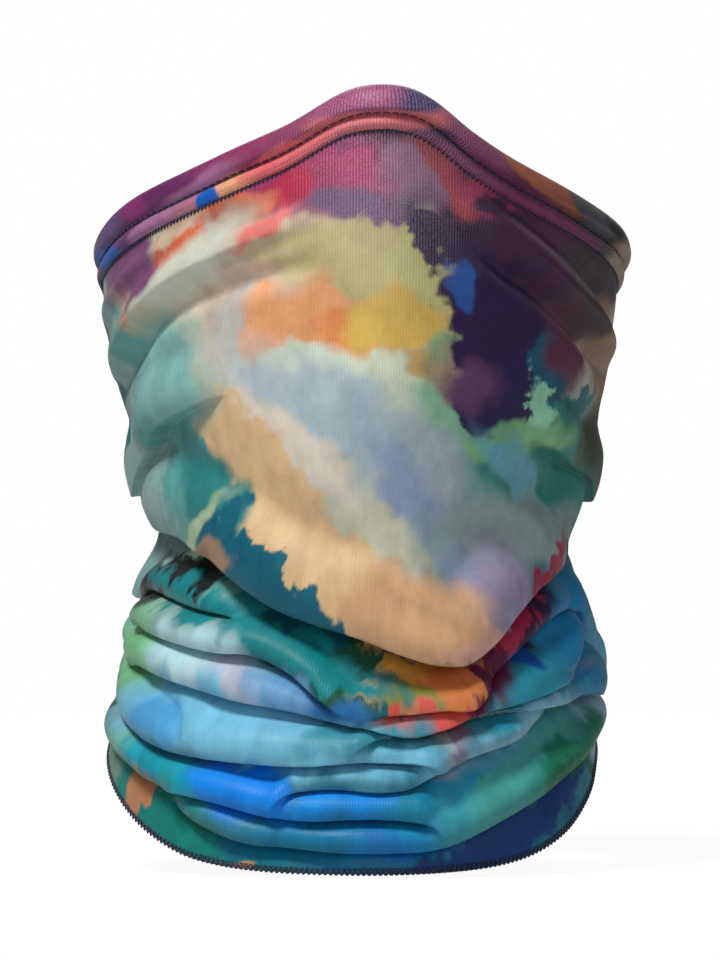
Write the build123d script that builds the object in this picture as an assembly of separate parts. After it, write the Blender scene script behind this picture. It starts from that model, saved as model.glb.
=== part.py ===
"""Neck gaiter: a printed stretch-knit tube, worn over the nose and bunched round the neck.

Millimetres, +Z up, -Y is the wearer's front and +X the wearer's left. The origin is the centre of
the neck opening, level with the lowest point of the front hem.

Every piece that runs round the gaiter is one closed band: a cross-section, given as corners, is
carried round the worn outline in flat facets. A corner has a gap, which is how far it stands
outside the outline, and a station, which is how far up it is: measured from the hem, from the rim,
or in between. Pieces that lie on each other share their stations, so their facets stay parallel.
"""
import math
import os

from build123d import *

# Worn outline. Each row: height, half width, front depth, back depth, how far the nose stands out
OUTLINE = [
    (-14.0, 76.0, 83.0, 82.0, 0.0),
    (10.0, 77.5, 86.0, 83.0, 0.0),
    (40.0, 78.5, 87.0, 81.0, 0.0),
    (62.0, 74.0, 86.0, 73.0, 0.0),
    (80.0, 72.5, 90.0, 67.0, 0.0),
    (100.0, 65.0, 92.0, 64.0, 0.0),
    (120.0, 71.0, 92.0, 71.0, 3.0),
    (146.0, 76.5, 92.0, 86.0, 6.0),
    (178.0, 80.0, 92.0, 95.0, 12.0),
    (208.0, 80.0, 90.0, 97.0, 17.0),
    (240.0, 78.0, 86.0, 96.0, 18.0),
]
NOSE_HALF_WIDTH = 22.0
POINTS_ROUND = 28

# Rim and hem: height against depth, from in front of the object to behind it
RIM = [(-130.0, 229.0), (-104.0, 228.5), (-88.0, 218.0), (-74.0, 209.5), (-57.0, 202.5),
       (-12.0, 188.5), (40.0, 179.0), (130.0, 175.0)]
HEM = [(-130.0, 0.0), (-84.0, 0.0), (-62.0, 4.0), (-46.0, 11.0), (0.0, 34.0),
       (50.0, 45.0), (130.0, 49.0)]

# Cloth
KNIT = 0.8                # thickness of one layer
LEAF_GAP = 0.9            # between the two leaves of the folded band
BAND_HEIGHT = 13.0        # rim to the join
TOPSTITCH_DROP = 8.0      # rim to the topstitching
JOIN_GAP = 0.4            # between the tube's fold and the band's lower edge
JOIN_ALLOWANCE = 5.5      # the tube's raw edge, turned up behind the band
CLOSING_ALLOWANCE = 5.0   # the raw edges of the closing seam, turned to one side
WALL_STEPS = 7
SEAM_START = 3.0          # hem to the lower end of the closing seam's allowance
SEAM_END = 16.0           # rim to its upper end
WALL_FALL = 0.9           # how far the round wall falls away at the allowance's free edge

# Thread
THREAD = 0.4
CLEARANCE = 0.15          # between any two pieces
TOPSTITCH_WIDTH = 0.6
JOIN_STITCH_WIDTH = 1.3   # the overlock that shows in the join
HEM_STITCH_WIDTH = 1.9    # the narrow overlock round the raw bottom edge

# Gaps of the layers behind the band
BAND_INSIDE = -(2 * KNIT + LEAF_GAP)
FLAP_OUTSIDE = BAND_INSIDE - THREAD - 2 * CLEARANCE
FLAP_INSIDE = FLAP_OUTSIDE - KNIT


def between(table, value):
    """The row of a table at a value of its first column, by a smooth curve through the rows."""
    last = len(table) - 1
    low = max([i for i in range(last) if table[i][0] <= value], default=0)
    start, end = table[low], table[low + 1]
    before, after = table[max(low - 1, 0)], table[min(low + 2, last)]
    span = end[0] - start[0]
    t = min(max((value - start[0]) / span, 0.0), 1.0)
    row = [value]
    for p0, p1, p2, p3 in zip(before[1:], start[1:], end[1:], after[1:]):
        slope_in = (p2 - p0) / (end[0] - before[0]) * span
        slope_out = (p3 - p1) / (after[0] - start[0]) * span
        row.append((2 * t**3 - 3 * t**2 + 1) * p1 + (t**3 - 2 * t**2 + t) * slope_in
                   + (3 * t**2 - 2 * t**3) * p2 + (t**3 - t**2) * slope_out)
    return row


def outline_point(height, turn, gap):
    """A point of the worn outline, moved outwards by gap; turn 0 is the front."""
    _, half_width, front, back, nose = between(OUTLINE, height)

    def place(angle):
        x = half_width * math.sin(angle)
        if math.cos(angle) <= 0:
            return x, -back * math.cos(angle)
        return x, -front * math.cos(angle) - nose * math.exp(-(x / NOSE_HALF_WIDTH) ** 2)

    small = 1e-3
    x, y = place(turn)
    x_after, y_after = place(turn + small)
    x_before, y_before = place(turn - small)
    along_x, along_y = x_after - x_before, y_after - y_before
    length = math.hypot(along_x, along_y)
    return x + gap * along_y / length, y - gap * along_x / length


def station_height(station, depth):
    """The height of a station at a depth. A station is its share of the way up, and a rise."""
    share, rise = station
    hem, rim = between(HEM, depth)[1], between(RIM, depth)[1]
    return hem + share * (rim - hem) + rise


def corner_ring(gap, station):
    """One corner of a cross-section, carried all the way round."""
    points = []
    for i in range(POINTS_ROUND):
        turn = 2 * math.pi * i / POINTS_ROUND
        depth = -90 * math.cos(turn)
        for _ in range(12):
            height = station_height(station, depth)
            x, depth = outline_point(height, turn, gap)
        points.append((x, depth, height))
    return points


def band(corners):
    """A closed solid: the cross-section through the corners, carried round the outline."""
    rings = [corner_ring(gap, station) for gap, station in corners]
    facets = []
    for lower, upper in zip(rings, rings[1:] + rings[:1]):
        for i in range(POINTS_ROUND):
            j = (i + 1) % POINTS_ROUND
            facets.append((lower[i], lower[j], upper[j]))
            facets.append((lower[i], upper[j], upper[i]))
    return Solid(Shell([Face(Wire.make_polygon(facet)) for facet in facets]))


def above_hem(rise):
    """A station measured up from the hem."""
    return 0.0, rise


def below_rim(drop):
    """A station measured down from the rim."""
    return 1.0, -drop


def ring(inner, outer, low, high):
    """A plain rectangular band between two gaps and two stations."""
    return band([(outer, low), (outer, high), (inner, high), (inner, low)])


def wall_stations(low, high):
    """Stations from one to the other, with the same ones between them on every piece."""
    return [low] + [(i / WALL_STEPS, 0.0) for i in range(1, WALL_STEPS)] + [high]


def strip(inner, outer, x_low, x_high, stations):
    """A narrow upright strip on the middle of the back, between two gaps."""
    sections = []
    for station in stations:
        depth = 80.0
        for _ in range(12):
            height = station_height(station, depth)
            depth = outline_point(height, math.pi, 0)[1]
        corners = [(x_low, depth + inner), (x_high, depth + inner),
                   (x_high, depth + outer), (x_low, depth + outer)]
        sections.append(Plane.XY.offset(height) * make_face(Polyline(*corners, close=True)))
    return loft(sections, ruled=True).solids()[0]


SEAM_STATIONS = wall_stations((0.0, SEAM_START), (1.0, -SEAM_END))


def main_tube():
    """The body: a tube from hem to join, with its top edge turned up behind the band."""
    join = BAND_HEIGHT + JOIN_GAP
    edge = join - JOIN_ALLOWANCE
    outside = [(0, above_hem(0))] + [(0, s) for s in SEAM_STATIONS] + [(0, below_rim(join))]
    under_band = [(gap, below_rim(join)) for gap in (-KNIT, BAND_INSIDE + KNIT, BAND_INSIDE)]
    turned_edge = [(FLAP_OUTSIDE, below_rim(join)), (FLAP_OUTSIDE, below_rim(edge)),
                   (FLAP_INSIDE, below_rim(edge)), (FLAP_INSIDE, below_rim(join + KNIT)),
                   (-KNIT, below_rim(join + KNIT))]
    inside = [(-KNIT, s) for s in reversed(SEAM_STATIONS)] + [(-KNIT, above_hem(0))]
    return band(outside + under_band + turned_edge + inside)


def seam_allowance():
    """The two raw edges of the tube's closing seam, turned to one side inside the back."""
    return strip(-3 * KNIT, -KNIT / 2, 0, CLOSING_ALLOWANCE, SEAM_STATIONS)


def top_band():
    """The band: cloth folded double over the rim, open along its lower edge."""
    low, high = below_rim(BAND_HEIGHT), below_rim(0)
    inside_fold = below_rim(KNIT)
    return band([(0, low), (0, high), (BAND_INSIDE, high), (BAND_INSIDE, low),
                 (BAND_INSIDE + KNIT, low), (BAND_INSIDE + KNIT, inside_fold),
                 (-KNIT, inside_fold), (-KNIT, low)])


def topstitch_threads():
    """Lockstitch through band and turned edge: needle thread outside, bobbin thread inside."""
    low, high = (below_rim(TOPSTITCH_DROP + side * TOPSTITCH_WIDTH / 2) for side in (1, -1))
    in_low, in_high = (below_rim(TOPSTITCH_DROP + THREAD + side * TOPSTITCH_WIDTH / 2)
                       for side in (1, -1))
    return {
        "topstitch_needle_thread": ring(CLEARANCE, CLEARANCE + THREAD, low, high),
        "topstitch_bobbin_thread": ring(FLAP_INSIDE - CLEARANCE - THREAD, FLAP_INSIDE - CLEARANCE,
                                        in_low, in_high),
    }


def join_threads():
    """Three-thread overlock that joins tube and band: one thread shows, two lie on the flap."""
    seen_low, seen_high = (below_rim(BAND_HEIGHT + side * JOIN_STITCH_WIDTH / 2) for side in (1, -1))
    low, high = below_rim(BAND_HEIGHT - 0.6), below_rim(TOPSTITCH_DROP + 1.4)
    return {
        "join_needle_thread": ring(CLEARANCE, CLEARANCE + THREAD, seen_low, seen_high),
        "join_upper_looper_thread": ring(FLAP_INSIDE - CLEARANCE - THREAD, FLAP_INSIDE - CLEARANCE,
                                         low, high),
        "join_lower_looper_thread": ring(FLAP_OUTSIDE + CLEARANCE, FLAP_OUTSIDE + CLEARANCE + THREAD,
                                         low, high),
    }


def hem_threads():
    """Three-thread overlock round the raw bottom edge."""
    low, high = above_hem(0), above_hem(HEM_STITCH_WIDTH)
    line_low = above_hem(HEM_STITCH_WIDTH + CLEARANCE)
    line_high = above_hem(HEM_STITCH_WIDTH + CLEARANCE + THREAD)
    inside = -KNIT - CLEARANCE
    return {
        "hem_needle_thread": ring(CLEARANCE, CLEARANCE + THREAD, line_low, line_high),
        "hem_upper_looper_thread": ring(CLEARANCE, CLEARANCE + THREAD, low, high),
        "hem_lower_looper_thread": ring(inside - THREAD, inside, low, high),
    }


def body_seam_threads():
    """Three-thread overlock up the tube's closing seam, on the allowance inside the back."""
    wall = -KNIT - CLEARANCE
    face = -3 * KNIT - CLEARANCE
    edge = CLOSING_ALLOWANCE + CLEARANCE
    return {
        "body_seam_needle_thread": strip(wall - THREAD, wall, -CLEARANCE - THREAD, -CLEARANCE,
                                         SEAM_STATIONS),
        "body_seam_upper_looper_thread": strip(face - THREAD, face, THREAD,
                                               CLOSING_ALLOWANCE - THREAD, SEAM_STATIONS),
        "body_seam_lower_looper_thread": strip(face, wall - WALL_FALL, edge, edge + THREAD,
                                               SEAM_STATIONS),
    }


def band_seam_threads():
    """Lockstitch that closes the band into a ring, between its leaves: needle and bobbin."""
    stations = [below_rim(BAND_HEIGHT - 1), below_rim(2 * KNIT)]
    outer = -KNIT - CLEARANCE
    inner = BAND_INSIDE + KNIT + CLEARANCE
    depth = (outer - inner - CLEARANCE) / 2
    return {
        "band_seam_needle_thread": strip(outer - depth, outer, -THREAD / 2, THREAD / 2, stations),
        "band_seam_bobbin_thread": strip(inner, inner + depth, -THREAD / 2, THREAD / 2, stations),
    }


os.makedirs("parts", exist_ok=True)
pieces = {"main_tube": (main_tube() + seam_allowance()).solids()[0], "top_band": top_band()}
for threads in (topstitch_threads, join_threads, hem_threads, body_seam_threads, band_seam_threads):
    pieces.update(threads())
for name, piece in pieces.items():
    export_step(piece, f"parts/{name}.step")
    size = piece.bounding_box()
    low, high = size.min, size.max
    print(f"{name}: {piece.volume:.1f} mm3, x {low.X:.1f} {high.X:.1f}, y {low.Y:.1f} {high.Y:.1f}, "
          f"z {low.Z:.1f} {high.Z:.1f}")
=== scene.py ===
"""Neck gaiter: printed stretch-knit tube with a folded top band, worn over the nose, bunched below.

Shapes are worked out in millimetres and made in metres. A place on the cloth is a turn, in degrees
from the wearer's front (positive to +X), and a height on the smooth worn outline. Folds move that
outline out and down, so the print and the knit follow the cloth through every fold.
"""
import math

import bpy
import numpy as np
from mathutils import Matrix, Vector


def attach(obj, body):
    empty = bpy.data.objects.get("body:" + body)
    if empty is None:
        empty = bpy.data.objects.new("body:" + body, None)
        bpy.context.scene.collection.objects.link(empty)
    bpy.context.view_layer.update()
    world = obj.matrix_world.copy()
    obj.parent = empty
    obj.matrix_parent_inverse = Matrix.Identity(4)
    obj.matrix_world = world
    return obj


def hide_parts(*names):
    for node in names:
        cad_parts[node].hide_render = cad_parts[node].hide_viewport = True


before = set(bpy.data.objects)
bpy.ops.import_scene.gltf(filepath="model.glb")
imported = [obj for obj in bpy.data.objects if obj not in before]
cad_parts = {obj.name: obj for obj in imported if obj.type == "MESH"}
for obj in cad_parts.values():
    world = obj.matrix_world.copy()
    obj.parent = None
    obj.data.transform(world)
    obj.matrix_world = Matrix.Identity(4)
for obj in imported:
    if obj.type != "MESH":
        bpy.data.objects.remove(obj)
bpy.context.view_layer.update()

MM = 0.001

# Worn outline under the folds: height, left width, right width, front depth, back depth, nose
OUTLINE = np.array([
    (-10, 73, 70, 79, 78, 0), (6, 75, 72, 82, 80, 0), (26, 76, 71, 84, 80, 0),
    (43, 74, 70, 84, 78, 0), (56, 69, 68, 83, 73, 0), (71, 67, 66, 84, 67, 0),
    (86, 63, 62, 86, 63, 0), (101, 58, 60, 89, 61, 0), (112, 61, 63, 91, 65, 1),
    (124, 65.5, 67, 92, 73, 3), (141, 72, 73, 93, 83, 6), (161, 76, 76, 93, 90, 9),
    (181, 77.5, 77.5, 92.5, 94, 12), (208, 77.5, 77.5, 91, 95, 15), (242, 75, 75, 88, 94, 16),
], float)
NOSE_WIDTH = 23.0
NOSE_PLACE = 8.0
RIM = np.array([(-130, 229), (-104, 228), (-88, 216), (-74, 207), (-57, 200), (-12, 188),
                (40, 179), (130, 175)], float)
HEM = np.array([(-130, 0), (-84, 0), (-62, 4), (-46, 11), (0, 34), (50, 45), (130, 49)], float)
BAND_HEIGHT = 13.0
TOPSTITCH_DROP = 8.0   # rim to the topstitching
TOPSTITCH_PITCH = 2.9
JOIN_PITCH = 1.5
INNER_PITCH = 2.0
HEM_PITCH = 1.9
CAMERA_DISTANCE = 2400.0
CAMERA_HEIGHT = 114.7
VIEW_HEIGHT = 288.0
SEEN_MIDDLE = 118.8    # height of the picture's centre above the lowest point seen


def curve(table_x, table_y, x):
    """A smooth curve through a table, level past its ends."""
    secant = np.diff(table_y) / np.diff(table_x)
    slope = np.concatenate([secant[:1], (secant[1:] + secant[:-1]) / 2, secant[-1:]])
    x = np.minimum(np.maximum(x, table_x[0]), table_x[-1])
    i = np.minimum(np.maximum(np.searchsorted(table_x, x) - 1, 0), len(table_x) - 2)
    span = table_x[i + 1] - table_x[i]
    t = (x - table_x[i]) / span
    return ((2 * t**3 - 3 * t**2 + 1) * table_y[i] + (t**3 - 2 * t**2 + t) * slope[i] * span
            + (3 * t**2 - 2 * t**3) * table_y[i + 1] + (t**3 - t**2) * slope[i + 1] * span)


def ease(t):
    """From 0 to 1 with a soft start and end."""
    t = np.clip(t, 0, 1)
    return t * t * (3 - 2 * t)


def outline(turn, height):
    """Place and outward direction of the smooth worn outline."""
    left, right, front, back, nose = (curve(OUTLINE[:, 0], OUTLINE[:, k], height) for k in range(1, 6))

    def place(angle):
        s, c = np.sin(angle), np.cos(angle)
        x = ((left + right) / 2 + (right - left) / 2 * s) * s
        y = -((front + back) / 2 + (front - back) / 2 * c) * c
        return x, y - nose * np.exp(-((x - NOSE_PLACE) / NOSE_WIDTH) ** 2) * ease(c * 3)

    angle = np.radians(turn)
    x, y = place(angle)
    xa, ya = place(angle + 1e-3)
    xb, yb = place(angle - 1e-3)
    length = np.hypot(xa - xb, ya - yb)
    return x, y, (ya - yb) / length, -(xa - xb) / length


def edge_height(table, turn, rise):
    """The height on the outline of a curve that runs parallel to the rim or the hem."""
    height = np.full(np.shape(turn), 120.0)
    for _ in range(9):
        y = outline(turn, height)[1]
        height = curve(table[:, 0], table[:, 1], y) + rise
    return height


def seen(x, z):
    """The turn and height of the front point that the camera sees at x across and z up."""
    turn, height = math.degrees(math.asin(max(-0.999, min(0.999, x / 80)))), z
    for _ in range(30):
        px, py, _, _ = outline(turn, height)
        near = CAMERA_DISTANCE / (CAMERA_DISTANCE + py)
        height = CAMERA_HEIGHT + (z - SEEN_MIDDLE) / near
        miss = float(x - px * near)
        turn = max(-92.0, min(92.0, turn + miss * 0.6))
        if abs(miss) < 0.02:
            break
    return float(turn), float(height)


# Folds --------------------------------------------------------------------------------------------
LIPS, RIDGES = [], []
SPAN = 1.31   # millimetres of cloth to a degree of turn


def path_of(points, before=(), after=()):
    """A fold's path in turns and heights, from points that the camera sees and any beyond them."""
    path = sorted(list(before) + [seen(x, z) for x, z in points] + list(after))
    kept = path[:1]
    for place in path[1:]:
        if place[0] - kept[-1][0] > 1.5:
            kept.append(place)
    return np.array(kept)


def lip(points, out=6.0, up=10.0, lap=3.0, under=2.5, down=3.5, fade=(10, 10), before=(), after=()):
    """A pleat that hangs over its own crease. The points follow its lower edge."""
    LIPS.append((path_of(points, before, after), out, up, lap, under, down, fade))


def ridge(points, out=3.0, width=5.0, skew=0.0, fade=(10, 10), before=(), after=()):
    """A soft rounded ridge, or a hollow where out is negative."""
    RIDGES.append((path_of(points, before, after), out, width, skew, fade))


def along(path, turn, fade):
    """How far above the path each turn is measured from, its slope, and the fade to its ends."""
    height = curve(path[:, 0], path[:, 1], turn)
    slope = (curve(path[:, 0], path[:, 1], turn + 5) - curve(path[:, 0], path[:, 1], turn - 5)) / (10 * SPAN)
    strength = ease((turn - path[0, 0]) / fade[0]) * ease((path[-1, 0] - turn) / fade[1])
    return height, np.sqrt(1 + slope**2), strength


def reach(path, turn):
    """Which places a fold reaches, and their turns counted the way round that the fold goes."""
    whole = np.where(turn < path[-1, 0] - 360, 360.0, 0.0)
    here = np.flatnonzero((turn + whole > path[0, 0]) & (turn + whole < path[-1, 0]))
    return here, (turn + whole)[here]


CREASE = 2.2     # how far below a fold's lower edge its crease is deepest
BRINK = 0.6      # how far out the lower edge is, as a share of the whole fold
FULLEST = 8.0    # how far out folds that lie over one another can stand


def fold_shift(turn, height):
    """How far out and down the folds move each place."""
    shape = height.shape
    turn, height = turn.ravel(), height.ravel()
    out, fall = np.zeros_like(height), np.zeros_like(height)
    for path, high, up, lap, under, down, fade in LIPS:
        here, t = reach(path, turn)
        level, stretch, strength = along(path, t, fade)
        d = (height[here] - level - lap * strength) / stretch
        q = d / up
        top = np.where(q < 0.25, BRINK + (1 - BRINK) * np.sin(np.clip(q / 0.25, 0, 1) * np.pi / 2),
                       np.cos(np.clip((q - 0.25) / 0.75, 0, 1) * np.pi / 2) ** 2)
        turnover = ease(-d / CREASE)
        below = np.exp(-np.clip(-d - CREASE, 0, None) / down)
        hang = high * BRINK * (1 - turnover) - under * turnover * below
        out[here] += strength * np.where(d > 0, high * top, hang)
        drop = np.clip(1 - q / 0.85, 0, 1) ** 2
        fall[here] += strength * lap * np.where(d > 0, drop, 1 - turnover)
    for path, high, width, skew, fade in RIDGES:
        here, t = reach(path, turn)
        level, stretch, strength = along(path, t, fade)
        d = (height[here] - level) / stretch
        out[here] += strength * high * np.exp(-(d / (width * np.where(d > 0, 1 + skew, 1 - skew))) ** 2)
    return out.reshape(shape), fall.reshape(shape)


# Face: cheek ridges under the band, then the swags that hang from the cheeks
ridge([(-73, 150), (-69, 164), (-63, 173), (-53, 181), (-41, 187), (-26, 193), (-10, 198)],
      out=4.4, width=3.9, skew=0.3, fade=(22, 18), before=[(-92, 148)])
ridge([(-72, 142), (-68, 156), (-62, 165), (-53, 172), (-42, 176), (-28, 180), (-8, 185)],
      out=-3.6, width=3.4, fade=(20, 18), before=[(-92, 140)])
ridge([(-77, 165), (-73, 175), (-66, 184), (-56, 191), (-44, 197)], out=2.4, width=2.8, fade=(18, 14),
      before=[(-92, 158)])
ridge([(27, 205), (39, 196), (51, 187), (61, 177), (69, 168), (74, 157)], out=4.8, width=4.0, skew=0.2,
      fade=(16, 20), after=[(92, 150)])
ridge([(28, 192), (42, 183), (54, 175), (64, 166), (72, 156)], out=-4.6, width=3.6, fade=(16, 20),
      after=[(92, 146)])
ridge([(33, 210), (45, 202), (55, 194), (64, 187), (71, 178), (75, 168)], out=-3.8, width=3.2,
      fade=(14, 18), after=[(92, 160)])
lip([(-39, 146), (-51, 140), (-59, 134), (-65, 127), (-69, 121)], out=5.0, up=15, lap=2.5, under=3,
    down=6, fade=(12, 16), before=[(-125, 116), (-100, 110), (-84, 112)])
lip([(48, 133), (58, 127), (65, 121), (70, 116)], out=4.0, up=13, lap=2.5, under=3, down=6,
    fade=(14, 14), after=[(86, 112), (102, 112), (128, 118)])
ridge([(33, 113), (43, 108), (51, 102), (58, 98)], out=3.0, width=4, skew=0.4, fade=(12, 6))
ridge([(34, 100), (44, 98), (52, 94)], out=-3.0, width=4, fade=(10, 6))
ridge([(-56, 96), (-50, 99), (-43, 103), (-35, 108)], out=3.0, width=3.2, skew=0.4, fade=(6, 10))
ridge([(-52, 92), (-46, 93), (-39, 97)], out=-3.0, width=3.5, fade=(6, 8))
ridge([(2, 86), (14, 80), (25, 75), (34, 71)], out=-2.8, width=3.6, fade=(10, 6))
ridge([(4, 79), (15, 74), (26, 69), (34, 66)], out=2.2, width=3.2, fade=(10, 6))

# Jaw: the lower edge of the taut face, from side to side under the chin
lip([(-66, 119), (-59, 109), (-50, 101), (-43, 95), (-35, 88), (-24, 80), (-12, 75), (0, 71), (12, 66),
     (23, 63), (32, 64), (39, 70), (44, 77), (51, 86), (57, 94), (62, 101)],
    out=8.5, up=22, lap=5.0, under=12, down=7, fade=(10, 10), before=[(-92, 112)], after=[(88, 108)])

# Second and third layer below the jaw on the right
lip([(-3, 50), (13, 49), (24, 50.5), (33, 52), (42, 61), (50, 70), (58, 78), (63, 84), (67, 90)],
    out=4.5, up=9, lap=3.2, under=5.6, down=4, fade=(12, 14), after=[(90, 92)])
ridge([(2, 47), (13, 44), (22, 46), (33, 51)], out=2.5, width=2.2, fade=(8, 8))

# Rolls round the neck, from the throat down
lip([(-68, 89), (-62, 86), (-56, 83), (-44, 79), (-34, 77)], out=3.2, up=7, lap=3.2, under=6.4, down=3,
    fade=(16, 14), before=[(-120, 98), (-95, 95)])
lip([(-68, 81), (-64, 75), (-53, 70), (-41, 67), (-31, 66), (-21, 61), (-9, 52), (0, 49)],
    out=6.5, up=9.5, lap=3.2, under=6.4, fade=(16, 10), before=[(-125, 84), (-95, 84)])
lip([(-68, 64), (-64, 63), (-53, 58), (-36, 52.5), (-21, 49.5), (-8, 46), (3, 44), (14, 43), (24, 45),
     (36, 49), (51, 54), (61, 60), (70, 66)], out=6, up=10, lap=3.6, under=6.4, fade=(10, 16),
    before=[(-105, 70)], after=[(90, 70), (120, 72)])
ridge([(-65, 59), (-59, 53), (-53, 47), (-49, 41)], out=-2.0, width=1.6, fade=(5, 4))
ridge([(-58, 60), (-50, 53), (-43, 47)], out=1.5, width=4, fade=(8, 6))
lip([(-68, 46), (-59, 39), (-49, 36), (-34, 34), (-18, 33), (0, 34), (18, 34), (27, 36)],
    out=7, up=11, lap=3.2, under=6.4, fade=(14, 10), before=[(-130, 66), (-95, 55)])
lip([(-5, 38), (3, 41), (12, 42.5), (27, 45), (42, 48.5), (54, 52), (62, 56), (71, 62)],
    out=4, up=7, lap=2.2, under=4.8, fade=(8, 14), after=[(100, 66)])
lip([(-28, 21), (-21, 24.5), (-9, 26), (6, 25), (14, 26), (22, 30), (31.5, 35), (47, 41), (54, 46),
     (60, 51), (68, 55)], out=6, up=9, lap=3.6, under=5.6, fade=(8, 16), after=[(90, 58), (130, 62)])
lip([(-69, 35), (-64, 30), (-49, 24), (-40, 21.5), (-28, 18), (-15, 16.5), (0, 17), (13, 16.5),
     (21, 15), (26, 13)], out=6.5, up=9, lap=3.6, under=5.6, fade=(12, 8), before=[(-110, 52)])
lip([(-60, 26), (-54, 20), (-46, 15), (-34, 10), (-21, 8.5), (-6, 7), (12, 7), (22, 8), (38, 15),
     (50, 22), (59, 28.5), (66, 36)], out=5.0, up=8, lap=3.8, under=4, fade=(8, 14),
    after=[(92, 44), (125, 54)])

# Round the back of the neck
for start, end, height, bend in ((95, 262, 66, 3), (118, 250, 78, -3), (100, 240, 91, 2), (125, 265, 104, -2),
                                 (140, 235, 116, 3)):
    turns = np.linspace(start, end, 7)
    wave = height + bend * np.sin(np.radians((turns - start) * 2.2)) * 1.5
    LIPS.append((np.stack([turns, wave], 1), 5.0, 9.5, 2.6, 2.5, 3.5, (26, 26)))


def ripple(turn, height):
    """Slow unevenness, so that no two folds are alike."""
    a = np.radians(turn)
    return (0.7 * np.sin(3 * a + height / 19) + 0.5 * np.sin(7 * a - height / 11 + 1.3)
            + 0.35 * np.sin(13 * a + height / 7 + 0.4))


def cloth(turn, height, lift=0.0):
    """Where the worn cloth lies for each place, in millimetres."""
    turn = np.asarray(turn, float)
    height = np.asarray(height, float)
    low = edge_height(HEM, turn[..., 0] if turn.ndim > 1 else turn, 0.0)
    high = edge_height(RIM, turn[..., 0] if turn.ndim > 1 else turn, -BAND_HEIGHT)
    if turn.ndim > 1:
        low, high = low[:, None], high[:, None]
    x, y, nx, ny = outline(turn, height)
    out, fall = fold_shift(turn, height)
    slack = ease((150 - height) / 50)
    out = out + ripple(turn, height) * slack
    out = np.where(out > 0, FULLEST * np.tanh(out / FULLEST), out)
    free = ease((high - height) / 9)
    loose = ease((height - low) / 7)
    out, fall = out * free * (0.35 + 0.65 * loose), fall * free * loose
    return x + nx * (out + lift), y + ny * (out + lift), height - fall


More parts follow.
